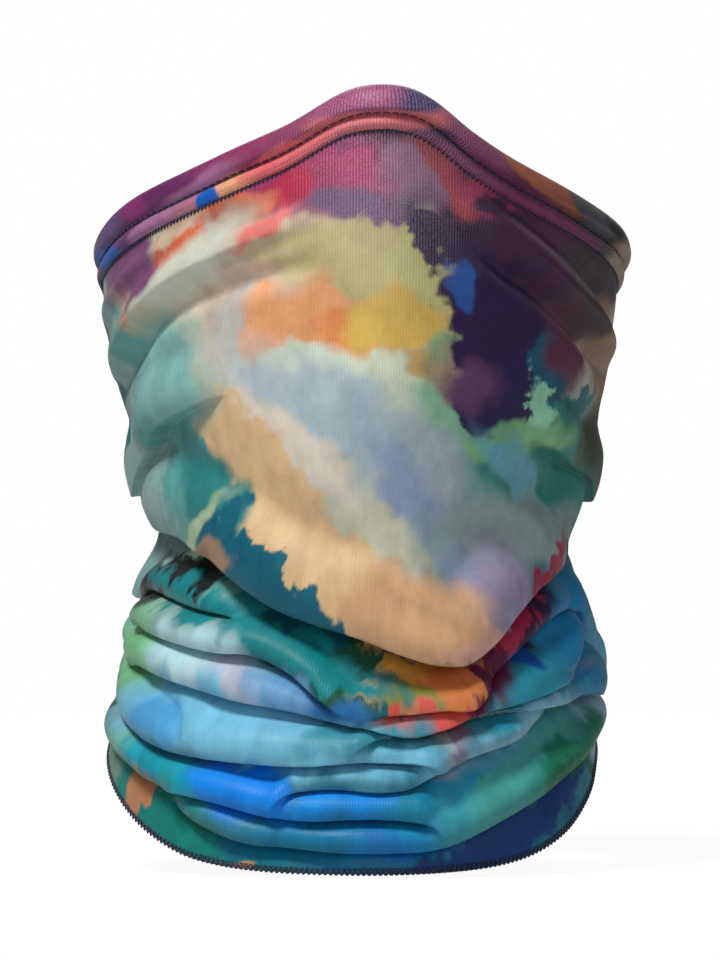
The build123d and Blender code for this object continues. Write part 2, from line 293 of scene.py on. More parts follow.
# Print and two patches of painted shade --------------------------------------------------------------
# The front follows the photograph's layout of colours, with places, sizes and colours set one by one.
# Seeded noise blurs and tears the edges. Each patch: place across and up as the camera sees it,
# half size across and up, tilt in degrees, softness of its edge, and colour.
# Two patches in this list are painted shade: the violet band across the upper face is painted shade, and the
# near-black patch under the left jaw is dark print with painted shade.
BODY_PRINT_AND_SHADE = [
    (-62, 125, 40, 90, 20, 0.8, (0.55, 0.70, 0.68)),
    (0, 212, 40, 16, 0, 0.5, (0.62, 0.24, 0.42)),
    (-14, 216, 14, 7, 25, 0.7, (0.50, 0.16, 0.36)),
    (-8, 208, 18, 9, 20, 0.6, (0.70, 0.22, 0.42)),
    (-23, 207, 9, 6, 20, 0.6, (0.72, 0.13, 0.28)),
    (-48, 191, 20, 8, 32, 0.4, (0.86, 0.42, 0.28)),
    (-40, 196, 9, 7, 30, 0.9, (0.62, 0.24, 0.18)),
    (-36, 190, 16, 3.5, 32, 0.5, (0.92, 0.48, 0.45)),
    (-70, 182, 8, 14, -30, 0.5, (0.50, 0.28, 0.46)),
    (-77, 162, 5, 18, 0, 0.4, (0.34, 0.18, 0.38)),
    (45, 200, 36, 17, -36, 0.4, (0.36, 0.09, 0.24)),
    (16, 209, 11, 10, 0, 0.8, (0.60, 0.40, 0.52)),
    (26, 211, 13, 3.5, -45, 0.7, (0.70, 0.26, 0.32)),
    (42, 202, 20, 4, -38, 0.8, (0.66, 0.20, 0.36)),
    # painted shade: a soft violet band across the upper face
    (3, 200, 22, 6, 0, 0.7, (0.46, 0.34, 0.48)),
    (60, 180, 12, 9, -30, 0.8, (0.42, 0.24, 0.48)),
    (-58, 169, 22, 10, 44, 0.5, (0.84, 0.85, 0.77)),
    (-34, 174, 22, 8, 25, 0.6, (0.88, 0.74, 0.64)),
    (-38, 168, 12, 7, 10, 0.8, (0.72, 0.62, 0.52)),
    (0, 184, 27, 12, 0, 0.4, (0.78, 0.72, 0.50)),
    (18, 178, 13, 19, 0, 0.5, (0.82, 0.79, 0.53)),
    (-56, 158, 12, 13, 0, 0.8, (0.84, 0.80, 0.70)),
    (-30, 160, 16, 18, 0, 0.8, (0.78, 0.77, 0.74)),
    (-14, 165, 20, 11, -15, 0.5, (0.92, 0.64, 0.44)),
    (-4, 160, 11, 7, -30, 0.5, (0.90, 0.56, 0.32)),
    (-26, 158, 8, 6, -20, 0.6, (0.92, 0.70, 0.58)),
    (10, 165, 13, 9, 0, 0.6, (0.89, 0.73, 0.36)),
    (-18, 153, 8, 6, 0, 0.6, (0.86, 0.87, 0.78)),
    (5, 147, 30, 8, -12, 0.6, (0.87, 0.90, 0.79)),
    (-14, 142, 20, 8, -14, 0.8, (0.76, 0.80, 0.82)),
    (22, 152, 9, 4, -20, 0.7, (0.80, 0.66, 0.42)),
    (33, 138, 14, 12, -20, 0.6, (0.56, 0.78, 0.63)),
    (26, 158, 6, 6, 0, 0.8, (0.58, 0.71, 0.52)),
    (55, 125, 20, 19, 0, 0.6, (0.22, 0.56, 0.52)),
    (34, 150, 12, 8, -30, 0.9, (0.62, 0.50, 0.46)),
    (40, 186, 15, 17, -42, 0.3, (0.13, 0.06, 0.20)),
    (52, 172, 22, 20, -50, 0.5, (0.28, 0.10, 0.26)),
    (41, 166, 15, 27, 22, 0.25, (0.17, 0.07, 0.29)),
    (43, 143, 12.5, 13, 0, 0.2, (0.14, 0.07, 0.32)),
    (24, 192, 15, 5, -25, 0.4, (0.22, 0.14, 0.30)),
    (29, 180, 4, 8, 15, 0.5, (0.14, 0.36, 0.68)),
    (34, 147, 7, 7, 0, 0.8, (0.40, 0.24, 0.42)),
    (58, 153, 6, 11, 0, 0.4, (0.04, 0.34, 0.46)),
    (64, 162, 6, 14, 12, 0.6, (0.40, 0.16, 0.28)),
    (72, 180, 8, 18, 0, 0.5, (0.24, 0.20, 0.22)),
    (74, 156, 4, 16, 15, 0.5, (0.62, 0.50, 0.41)),
    (72, 136, 9, 12, 0, 0.6, (0.44, 0.34, 0.26)),
    (66, 142, 4, 5, 0, 0.4, (0.05, 0.44, 0.46)),
    (66, 128, 5, 9, 0, 0.6, (0.30, 0.34, 0.28)),
    (53, 143, 3.6, 9, 18, 0.3, (0.60, 0.86, 0.72)),
    (46, 130, 15, 5, 0, 0.7, (0.52, 0.76, 0.54)),
    (49, 113, 13, 6, -38, 0.7, (0.42, 0.72, 0.80)),
    (4, 130, 34, 15, -30, 0.8, (0.67, 0.76, 0.79)),
    (6, 103, 18, 16, -20, 0.9, (0.82, 0.82, 0.72)),
    (-24, 130, 24, 8, -25, 0.8, (0.88, 0.83, 0.76)),
    (-20, 106, 60, 14, -47, 0.35, (0.88, 0.74, 0.55)),
    (20, 105, 26, 5.5, -52, 0.9, (0.60, 0.69, 0.82)),
    (44, 103, 16, 10, 0, 0.8, (0.57, 0.68, 0.67)),
    (39, 84, 11, 14, 20, 0.7, (0.62, 0.58, 0.70)),
    (17, 78, 22, 12, -20, 0.7, (0.88, 0.68, 0.50)),
    (33, 70, 13, 5, 10, 0.7, (0.90, 0.70, 0.62)),
    (-50, 122, 44, 12, -62, 0.4, (0.36, 0.63, 0.61)),
    (-58, 150, 11, 16, -20, 0.8, (0.50, 0.72, 0.70)),
    (-36, 102, 18, 9, -55, 0.5, (0.16, 0.50, 0.50)),
    (-24, 84, 27, 10, -38, 0.15, (0.01, 0.38, 0.46)),
    (-44, 103, 8, 3.5, 28, 0.7, (0.68, 0.76, 0.62)),
    (-40, 96, 6, 4, 0, 0.6, (0.66, 0.52, 0.42)),
    (-76, 140, 7, 24, 0, 0.5, (0.08, 0.44, 0.46)),
    (10, 56, 40, 12, 0, 0.3, (0.05, 0.36, 0.40)),
    (-2, 62, 12, 9, 0, 0.4, (0.06, 0.32, 0.22)),
    (15, 61, 15, 5, 14, 0.4, (0.88, 0.64, 0.28)),
    (28, 57, 14, 6, 25, 0.4, (0.86, 0.50, 0.28)),
    (14, 55, 9, 3, 0, 0.5, (0.56, 0.56, 0.20)),
    (17, 47, 20, 3.6, 8, 0.3, (0.87, 0.36, 0.32)),
    (46, 68, 22, 4.5, 50, 0.3, (0.66, 0.12, 0.28)),
    (54, 74, 22, 5, 52, 0.3, (0.16, 0.05, 0.24)),
    (42, 60, 7, 5, 45, 0.4, (0.36, 0.06, 0.22)),
    # dark print and painted shade: near-black where the left jaw turns under
    (-57, 90, 12, 7, 0, 0.25, (0.04, 0.04, 0.06)),
    (-35, 74, 36, 5.5, -18, 0.4, (0.05, 0.52, 0.54)),
    (-66, 70, 9, 12, 0, 0.7, (0.48, 0.78, 0.55)),
    (-45, 64, 18, 8, -14, 0.6, (0.74, 0.89, 0.92)),
    (-38, 60, 9, 5, -14, 0.8, (0.75, 0.77, 0.84)),
    (-20, 56, 17, 6, -24, 0.6, (0.40, 0.62, 0.80)),
    (-6, 50, 12, 5, -15, 0.6, (0.10, 0.42, 0.66)),
    (-34, 45, 42, 10, -8, 0.5, (0.46, 0.76, 0.88)),
    (-59, 46, 9, 7, -25, 0.6, (0.32, 0.66, 0.88)),
    (-72, 56, 5, 8, 0, 0.3, (0.03, 0.34, 0.30)),
    (-72, 40, 6, 7, 0, 0.7, (0.46, 0.72, 0.62)),
    (-58, 33, 14, 5, -20, 0.6, (0.08, 0.62, 0.70)),
    (-34, 28, 18, 7, -8, 0.6, (0.00, 0.52, 0.92)),
    (-4, 21, 26, 6, 0, 0.6, (0.00, 0.56, 0.92)),
    (6, 42, 22, 5, 4, 0.7, (0.24, 0.60, 0.68)),
    (-56, 14, 26, 12, -20, 0.6, (0.04, 0.52, 0.48)),
    (-14, 10, 30, 8, 0, 0.7, (0.02, 0.48, 0.64)),
    (14, 12, 14, 7, 0, 0.8, (0.02, 0.46, 0.74)),
    (28, 24, 22, 7, 14, 0.7, (0.04, 0.54, 0.68)),
    (46, 14, 30, 9, 26, 0.4, (0.03, 0.24, 0.50)),
    (56, 37, 20, 7, 28, 0.6, (0.26, 0.62, 0.60)),
    (48, 47, 17, 5, 20, 0.6, (0.56, 0.76, 0.86)),
    (55, 62, 19, 6, 26, 0.6, (0.14, 0.58, 0.68)),
    (64, 76, 9, 16, 15, 0.5, (0.08, 0.53, 0.76)),
    (70, 76, 4, 10, 10, 0.8, (0.44, 0.72, 0.84)),
    (50, 66, 5, 4, 0, 0.5, (0.02, 0.30, 0.66)),
    (70, 48, 7, 10, 0, 0.6, (0.64, 0.79, 0.86)),
    (64, 39, 8, 5, 20, 0.5, (0.10, 0.50, 0.38)),
    (67, 33, 6, 4, 0, 0.4, (0.03, 0.42, 0.28)),
    (-78, 47, 4, 9, 0, 0.5, (0.88, 0.62, 0.60)),
    (-76, 33, 5, 9, 0, 0.6, (0.46, 0.62, 0.54)),
    (-67, 27, 5, 6, 40, 0.4, (0.80, 0.54, 0.38)),
    (-36, 3, 4, 2, 0, 0.5, (0.82, 0.66, 0.46)),
]
BACK_PRINT = [   # invented: turn, height, half size across and up, tilt, softness and colour
    (112, 200, 30, 18, 14, 0.5, (0.34, 0.16, 0.30)),
    (146, 194, 36, 12, -8, 0.4, (0.58, 0.22, 0.38)),
    (172, 204, 30, 14, 8, 0.7, (0.66, 0.34, 0.44)),
    (208, 190, 34, 11, 18, 0.4, (0.86, 0.50, 0.36)),
    (246, 184, 32, 15, -14, 0.6, (0.46, 0.26, 0.46)),
    (124, 160, 26, 10, 34, 0.4, (0.10, 0.36, 0.46)),
    (150, 164, 36, 12, -24, 0.6, (0.82, 0.75, 0.60)),
    (186, 168, 26, 9, -30, 0.4, (0.24, 0.10, 0.34)),
    (204, 150, 42, 12, 22, 0.6, (0.86, 0.80, 0.68)),
    (240, 146, 34, 12, -34, 0.4, (0.24, 0.58, 0.58)),
    (168, 140, 38, 10, 16, 0.7, (0.66, 0.74, 0.78)),
    (134, 124, 34, 10, -16, 0.5, (0.46, 0.68, 0.74)),
    (178, 122, 22, 7, 30, 0.3, (0.20, 0.10, 0.34)),
    (196, 114, 34, 8, -12, 0.5, (0.86, 0.62, 0.42)),
    (226, 112, 30, 10, 24, 0.6, (0.36, 0.62, 0.66)),
    (116, 88, 34, 11, 12, 0.5, (0.04, 0.42, 0.58)),
    (150, 92, 26, 7, -20, 0.4, (0.12, 0.34, 0.30)),
    (164, 78, 44, 9, -6, 0.6, (0.44, 0.74, 0.84)),
    (204, 82, 40, 9, 14, 0.5, (0.04, 0.48, 0.56)),
    (186, 62, 40, 7, 4, 0.6, (0.02, 0.42, 0.70)),
    (242, 76, 32, 11, -10, 0.6, (0.50, 0.76, 0.62)),
    (140, 62, 34, 7, 8, 0.6, (0.08, 0.52, 0.54)),
]
BAND_PRINT = [
    (-72, 186, 10, 18, -30, 0.7, (0.40, 0.25, 0.50)),
    (-58, 204, 14, 6, 30, 0.8, (0.42, 0.16, 0.38)),
    (-66, 200, 4, 4, 0, 0.7, (0.55, 0.16, 0.45)),
    (-20, 226, 34, 9, 15, 0.7, (0.55, 0.20, 0.38)),
    (6, 234, 22, 6, 0, 0.7, (0.60, 0.24, 0.44)),
    (22, 229, 12, 7, -25, 0.5, (0.24, 0.15, 0.40)),
    (46, 219, 19, 8, -33, 0.5, (0.26, 0.08, 0.15)),
    (61, 207, 12, 7, -33, 0.6, (0.42, 0.24, 0.20)),
    (72, 196, 6, 8, -40, 0.4, (0.08, 0.11, 0.10)),
    (77, 183, 5, 12, 0, 0.5, (0.64, 0.54, 0.46)),
    (-62, 192, 17, 4.5, 34, 0.5, (0.68, 0.45, 0.62)),
    (-38, 206, 11, 4, 28, 0.6, (0.92, 0.66, 0.50)),
    (-52, 199, 6, 3.5, 28, 0.6, (0.70, 0.45, 0.52)),
    (-20, 217, 17, 4, 26, 0.6, (0.90, 0.42, 0.44)),
    (8, 227, 20, 3.6, 0, 0.6, (0.86, 0.42, 0.44)),
    (32, 221, 12, 3.6, -33, 0.6, (0.54, 0.22, 0.40)),
    (52, 210, 14, 3.6, -33, 0.5, (0.64, 0.36, 0.28)),
    (68, 198, 7, 4, -40, 0.5, (0.34, 0.33, 0.36)),
    (-75, 185, 3.2, 3.2, 0, 0.4, (0.02, 0.36, 0.74)),
    (-46, 202.5, 4, 3, 20, 0.4, (0.02, 0.36, 0.74)),
    (-78, 170, 5, 14, 0, 0.4, (0.22, 0.12, 0.30)),
]

def linear(colour):
    """A screen colour as the renderer counts it."""
    colour = np.asarray(colour, float)
    return np.where(colour <= 0.04045, colour / 12.92, ((colour + 0.055) / 1.055) ** 2.4)


LATTICE = np.random.default_rng(7).random((4, 256, 256))


def cloud(u, v, size, octaves, layer):
    """Cloudy noise about 0, of a size in millimetres."""
    total, weight = np.zeros_like(u), 1.0
    for octave in range(octaves):
        a = u / size * 2**octave + 37.1 * octave
        b = v / size * 2**octave + 11.7 * octave
        i, j = np.floor(a).astype(int), np.floor(b).astype(int)
        s, t = ease(a - i), ease(b - j)
        corner = [LATTICE[layer, (i + p) % 256, (j + q) % 256] for p, q in ((0, 0), (1, 0), (0, 1), (1, 1))]
        total += weight * ((corner[0] * (1 - s) + corner[1] * s) * (1 - t)
                           + (corner[2] * (1 - s) + corner[3] * s) * t - 0.5)
        weight *= 0.55
    return total


def seen_patch(x, z, across, up):
    """A patch's centre and half size on the cloth, from what the camera sees of it."""
    turn, height = seen(x, z)
    left, right = seen(max(x - across, -79), z)[0], seen(min(x + across, 79), z)[0]
    return turn * SPAN, height, max(across, 0.5 * (right - left) * SPAN), up


def wash(coords, stops, patches, back=(), stir=1.0):
    """The colour at each place on the cloth: print, and painted shade where a patch paints it, in washes with
    soft and with torn edges.
    """
    u, v = coords[..., 0], coords[..., 1]
    soft = (u + stir * (4 * cloud(u, v, 30.0, 2, 0) + 6 * cloud(u, v, 10.0, 3, 2)),
            v + stir * (4 * cloud(u, v, 30.0, 2, 1) + 6 * cloud(u, v, 10.0, 3, 3)))
    torn = (soft[0] + 6 * stir * cloud(u, v, 5.0, 5, 2), soft[1] + 6 * stir * cloud(u, v, 5.0, 5, 3))
    places = [place for place, _ in stops]
    colour = np.stack([np.interp(soft[1], places, [linear(c)[k] for _, c in stops]) for k in range(3)], -1)
    placed = [(*seen_patch(*patch[:4]), *patch[4:]) for patch in patches]
    for turn, height, across, up, tilt, edge, dye in back:
        placed += [((turn + whole) * SPAN, height, across, up, tilt, edge, dye) for whole in (0, -360)]
    for middle, height, across, up, tilt, edge, dye in placed:
        a, b = torn if edge < 0.45 else soft
        c, s = math.cos(math.radians(tilt)), math.sin(math.radians(tilt))
        a, b = a - middle, b - height
        reach_out = np.hypot((a * c + b * s) / across, (b * c - a * s) / up)
        share = ease((1 + edge / 2 - reach_out) / edge)[..., None]
        colour = colour * (1 - share) + linear(dye) * share
    pool = cloud(u, v * 0.6, 4.0, 4, 1) * 0.16 + cloud(u, v, 14.0, 3, 2) * 0.14
    return colour * (1 + pool)[..., None]


BODY_GROUND = [(0, (0.03, 0.42, 0.52)), (50, (0.30, 0.62, 0.72)), (85, (0.08, 0.44, 0.52)),
               (115, (0.50, 0.66, 0.68)), (150, (0.80, 0.78, 0.72)), (185, (0.82, 0.74, 0.62)),
               (205, (0.60, 0.26, 0.40)), (230, (0.50, 0.20, 0.38))]
BAND_GROUND = [(150, (0.44, 0.24, 0.36)), (205, (0.50, 0.20, 0.38)), (250, (0.46, 0.20, 0.42))]


# Meshes -------------------------------------------------------------------------------------------
def grid_mesh(name, x, y, z, coords, colour, closed=True):
    """A mesh from a grid of places, rows along the first index, closed along it when it is a ring."""
    rows, cols = x.shape
    mesh = bpy.data.meshes.new(name)
    i = np.arange(rows if closed else rows - 1)
    j = np.arange(cols - 1)
    a = (i[:, None] * cols + j[None, :]).ravel()
    b = (((i + 1) % rows)[:, None] * cols + j[None, :]).ravel()
    faces = np.stack([a, b, b + 1, a + 1], 1)
    mesh.vertices.add(rows * cols)
    mesh.vertices.foreach_set("co", (np.stack([x, y, z], -1) * MM).astype(np.float32).ravel())
    mesh.loops.add(faces.size)
    mesh.loops.foreach_set("vertex_index", faces.astype(np.int32).ravel())
    mesh.polygons.add(len(faces))
    mesh.polygons.foreach_set("loop_start", np.arange(0, faces.size, 4, dtype=np.int32))
    mesh.polygons.foreach_set("use_smooth", np.ones(len(faces), bool))
    mesh.update(calc_edges=True)
    layer = mesh.attributes.new("cloth", "FLOAT_VECTOR", "POINT")
    layer.data.foreach_set("vector", coords.astype(np.float32).ravel())
    layer = mesh.attributes.new("wash", "FLOAT_VECTOR", "POINT")
    layer.data.foreach_set("vector", colour.astype(np.float32).ravel())
    mesh.validate()
    obj = bpy.data.objects.new(name, mesh)
    bpy.context.scene.collection.objects.link(obj)
    return obj


COLUMNS, ROWS = ((1080, 560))


def make_tube():
    """The printed tube, from the hem to the join."""
    turns = np.linspace(-180, 180, COLUMNS, endpoint=False)
    low, high = edge_height(HEM, turns, 0.0), edge_height(RIM, turns, -BAND_HEIGHT)
    share = np.linspace(0, 1, ROWS)
    height = low[:, None] + share[None, :] * (high - low)[:, None]
    turn = np.repeat(turns[:, None], ROWS, 1)
    x, y, z = cloth(turn, height)
    coords = np.stack([turn * SPAN, height, np.zeros_like(turn)], -1)
    return grid_mesh("gaiter_body", x, y, z, coords, wash(coords, BODY_GROUND, BODY_PRINT_AND_SHADE, BACK_PRINT))


tube = make_tube()

BAND_PROFILE = np.array([   # how far below the rim, and how far out, from the join over the fold
    (13.0, -0.6), (12.8, 0.4), (12.2, 1.3), (11.2, 2.0), (10.2, 2.0), (9.2, 1.4), (8.5, 0.5), (8.0, 0.0),
    (7.7, 0.6), (7.2, 1.9), (6.2, 3.1), (4.6, 3.9), (2.8, 3.7), (1.2, 2.6), (0.3, 1.0), (0.0, -0.4),
    (0.5, -1.6), (2.0, -2.1), (6.0, -2.3), (12.6, -2.4),
])
BAND_STEPS = np.linspace(0, 1, len(BAND_PROFILE))
BAND_TOP = int(np.argmin(BAND_PROFILE[:, 0]))
BAND_COLUMNS = 90


def band_place(turn, share, lift=0.0):
    """A place on the band: share runs from 0 at the join over the rim to 1 inside."""
    drop = curve(BAND_STEPS, BAND_PROFILE[:, 0], share)
    out = curve(BAND_STEPS, BAND_PROFILE[:, 1], share)
    puff = 0.25 + 0.75 * ease((turn + 55) / 60) * ease((120 - turn) / 60)
    edge = np.exp(-((drop - 4.2) / 2.6) ** 2) * (out > 0)
    out = out * np.where(drop > 8.0, 0.7 + 0.3 * puff, 0.45 + 0.65 * puff)
    drop = drop + 2.8 * (puff - 0.25) * edge
    height = edge_height(RIM, turn, 0.0) - drop
    base = edge_height(RIM, turn, -BAND_HEIGHT)
    x, y, nx, ny = outline(turn, base + (height - base) * 0.999)
    wave = 0.35 * np.sin(np.radians(turn * 5 + 20)) + 0.25 * np.sin(np.radians(turn * 11))
    lift = lift + wave * (drop < 12)
    return x + nx * (out + lift), y + ny * (out + lift), height


def make_band():
    """The folded band, from the join over the rim to its inner edge."""
    turns = np.linspace(-180, 180, COLUMNS, endpoint=False)
    share = np.linspace(0, 1, BAND_COLUMNS)
    turn = np.repeat(turns[:, None], len(share), 1)
    x, y, z = (np.zeros_like(turn) for _ in range(3))
    for k, value in enumerate(share):
        x[:, k], y[:, k], z[:, k] = band_place(turns, np.full_like(turns, value))
    outside = np.where(share < BAND_STEPS[BAND_TOP], -1, 1)
    below = outside * curve(BAND_STEPS, BAND_PROFILE[:, 0], share)
    height = edge_height(RIM, turns, 0.0)[:, None] + below[None, :]
    coords = np.stack([turn * SPAN, height, np.zeros_like(turn)], -1)
    return grid_mesh("top_band_cloth", x, y, z, coords, wash(coords, BAND_GROUND, BAND_PRINT, stir=0.3))


band = make_band()


# Threads ------------------------------------------------------------------------------------------
def tube_mesh(name, lines, radius, sides=6):
    """Round threads along lines of points; closed lines end where they begin."""
    points, faces = [], []
    ring = np.arange(sides) * 2 * np.pi / sides
    for line, closed in lines:
        line = np.asarray(line, float)
        after = np.roll(line, -1, 0)
        before = np.roll(line, 1, 0)
        if not closed:
            after[-1], before[0] = line[-1], line[0]
        along_line = after - before
        along_line /= np.linalg.norm(along_line, axis=1, keepdims=True) + 1e-9
        side = np.cross(along_line, (0, 0, 1.0))
        side /= np.linalg.norm(side, axis=1, keepdims=True) + 1e-9
        top = np.cross(side, along_line)
        start, count = len(points) and sum(len(p) for p in points), len(line)
        taper = np.ones(count)
        if not closed:
            taper[0] = taper[-1] = 0.35
        round_it = (side[:, None] * np.cos(ring)[None, :, None]
                    + top[:, None] * np.sin(ring)[None, :, None])
        points.append((line[:, None] + radius * taper[:, None, None] * round_it).reshape(-1, 3))
        for i in range(count if closed else count - 1):
            j = (i + 1) % count
            for k in range(sides):
                m = (k + 1) % sides
                faces.append((start + i * sides + k, start + i * sides + m,
                              start + j * sides + m, start + j * sides + k))
        if not closed:
            faces.append(tuple(start + k for k in reversed(range(sides))))
            faces.append(tuple(start + (count - 1) * sides + k for k in range(sides)))
    mesh = bpy.data.meshes.new(name)
    mesh.from_pydata((np.concatenate(points) * MM).tolist(), [], faces)
    mesh.polygons.foreach_set("use_smooth", np.ones(len(mesh.polygons), bool))
    mesh.validate()
    obj = bpy.data.objects.new(name, mesh)
    bpy.context.scene.collection.objects.link(obj)
    return obj


def band_at_drop(turn, drop, lift):
    """A point on the band's outside at a distance below the rim."""
    share = np.interp(-drop, -BAND_PROFILE[:BAND_TOP + 1, 0], BAND_STEPS[:BAND_TOP + 1])
    return np.stack(band_place(turn, np.full_like(turn, share), lift), -1)


def inside_at(turn, drop, lift):
    """A point on the band's inside at a distance below the rim."""
    share = np.interp(drop, BAND_PROFILE[BAND_TOP:, 0], BAND_STEPS[BAND_TOP:])
    return np.stack(band_place(turn, share, -lift), -1)


def dashes(place, pitch, length):
    """Single stitches along the whole rim."""
    count = int(2 * 180 * 1.56 / pitch)
    arch = np.array([-0.35, 0.12, 0.2, 0.2, 0.12, -0.35])
    middles = -180 + 360 * (np.arange(count) + 0.5) / count
    turns = middles[:, None] + 180 * length / pitch / count * np.linspace(-1, 1, len(arch))[None, :]
    points = place(turns.ravel(), np.tile(arch, count)).reshape(count, len(arch), 3)
    return [(line, False) for line in points]


def looping(place, pitch, samples=10, phase=0.0):
    """One thread that winds on as it goes round: place takes turn, and the sine and cosine of the loop."""
    count = int(2 * 180 * 1.5 / pitch)
    steps = np.arange(count * samples)
    turns = -180 + 360 * steps / len(steps)
    angle = 2 * np.pi * steps / samples + phase
    return [(place(turns, np.sin(angle), np.cos(angle)), True)]


def join_loop(turn, up, out):
    """The overlock that shows in the ditch between band and tube."""
    point = band_at_drop(turn, 13.0, 0.55 + 0.2 * out)
    point[:, 2] += 0.62 * up - 0.1
    return point


def hem_place(turn, rise, lift):
    """A point on the cloth at a distance above its raw bottom edge."""
    low = edge_height(HEM, turn, 0.0)
    return np.stack(cloth(turn, low + rise, lift), -1)


def hem_upper(turn, up, out):
    """The looper thread outside the raw edge."""
    return hem_place(turn, 0.55 + 0.6 * up, 0.3 + 0.1 * out) - np.array([0, 0, 0.15])


def hem_lower(turn, up, out):
    """The looper thread inside the raw edge."""
    return hem_place(turn, 0.5 + 0.6 * up, -0.9 - 0.1 * out) - np.array([0, 0, 0.15])


topstitch = tube_mesh("topstitch_needle", dashes(
    lambda t, arch: band_at_drop(t, TOPSTITCH_DROP, arch + 0.55), TOPSTITCH_PITCH, 2.35), 0.3)
topstitch_in = tube_mesh("topstitch_bobbin", dashes(
    lambda t, arch: inside_at(t, np.full_like(t, 8.3), arch + 0.2), TOPSTITCH_PITCH, 2.35), 0.26)
join_needle = tube_mesh("join_needle", looping(join_loop, JOIN_PITCH), 0.3)
join_upper = tube_mesh("join_upper_looper", looping(
    lambda t, up, out: inside_at(t, 10.6 + 1.5 * up, 0.45 + 0.12 * out), INNER_PITCH), 0.24)
join_lower = tube_mesh("join_lower_looper", looping(
    lambda t, up, out: inside_at(t, 10.9 + 1.2 * up, 0.18 + 0.1 * out), INNER_PITCH, phase=1.6), 0.2)
hem_upper_thread = tube_mesh("hem_upper_looper", looping(hem_upper, HEM_PITCH), 0.26)
hem_lower_thread = tube_mesh("hem_lower_looper", looping(hem_lower, HEM_PITCH, phase=1.0), 0.26)
hem_needle = tube_mesh("hem_needle", dashes(
    lambda t, arch: hem_place(t, np.full_like(t, 1.5), arch + 0.2), HEM_PITCH, 1.6), 0.2)


def upright(low_rise, high_drop, across, lift, loop=0.0, pitch=2.6):
    """A thread up the closing seam, inside the middle of the back."""
    centre = np.array([180.0])
    bottom = float(edge_height(HEM, centre, low_rise)[0])
    top = float(edge_height(RIM, centre, -high_drop)[0])
    count = int((top - bottom) / pitch) * 8
    heights = np.linspace(bottom, top, count)
    angle = np.arange(count) * 2 * np.pi / 8
    turns = 180.0 - (across + loop * np.sin(angle)) / 1.5
    sway = lift + 0.15 * np.cos(angle)[:, None]
    return [(np.stack(cloth(turns[:, None], heights[:, None], sway), -1)[:, 0], False)]


def make_allowance():
    """The tube's closing seam allowance, turned to one side inside the back."""
    turns = 180.0 - np.linspace(0.0, 5.0, 9) / 1.5
    share = np.linspace(0, 1, 220)
    turn = np.repeat(turns[:, None], len(share), 1)
    low, high = edge_height(HEM, turns, 3.0), edge_height(RIM, turns, -BAND_HEIGHT - 2)
    height = low[:, None] + share[None, :] * (high - low)[:, None]
    x, y, z = cloth(turn, height, -1.35)
    coords = np.stack([turn * SPAN, height, np.zeros_like(turn)], -1)
    return grid_mesh("seam_allowance", x, y, z, coords, wash(coords, BODY_GROUND, ()), closed=False)


allowance = make_allowance()
seam_needle = tube_mesh("body_seam_needle", upright(4, 16, -0.4, -1.2), 0.22)
seam_upper = tube_mesh("body_seam_upper_looper", upright(4, 16, 2.5, -2.2, loop=2.1), 0.22)
seam_lower = tube_mesh("body_seam_lower_looper", upright(4, 16, 5.1, -1.5, loop=0.5), 0.2)


def band_seam(lift, start):
    """Stitches that close the band into a ring, up the middle of the back."""
    lines = []
    for drop in np.arange(start, 12.0, 2.4):
        turns = np.full(5, 180.0)
        point = band_at_drop(turns, drop, 0.0)
        point[:, 2] += np.linspace(-0.9, 0.9, 5)
        point[:, 1] += lift + np.array([-0.2, 0.1, 0.15, 0.1, -0.2])
        lines.append((point, False))
    return lines


band_seam_needle = tube_mesh("band_seam_needle", band_seam(0.1, 1.8), 0.2)
band_seam_bobbin = tube_mesh("band_seam_bobbin", band_seam(-0.5, 1.8), 0.2)

# Materials ----------------------------------------------------------------------------------------
def dye(colour):
    """A colour for a shader socket."""
    return (*linear(colour), 1.0)


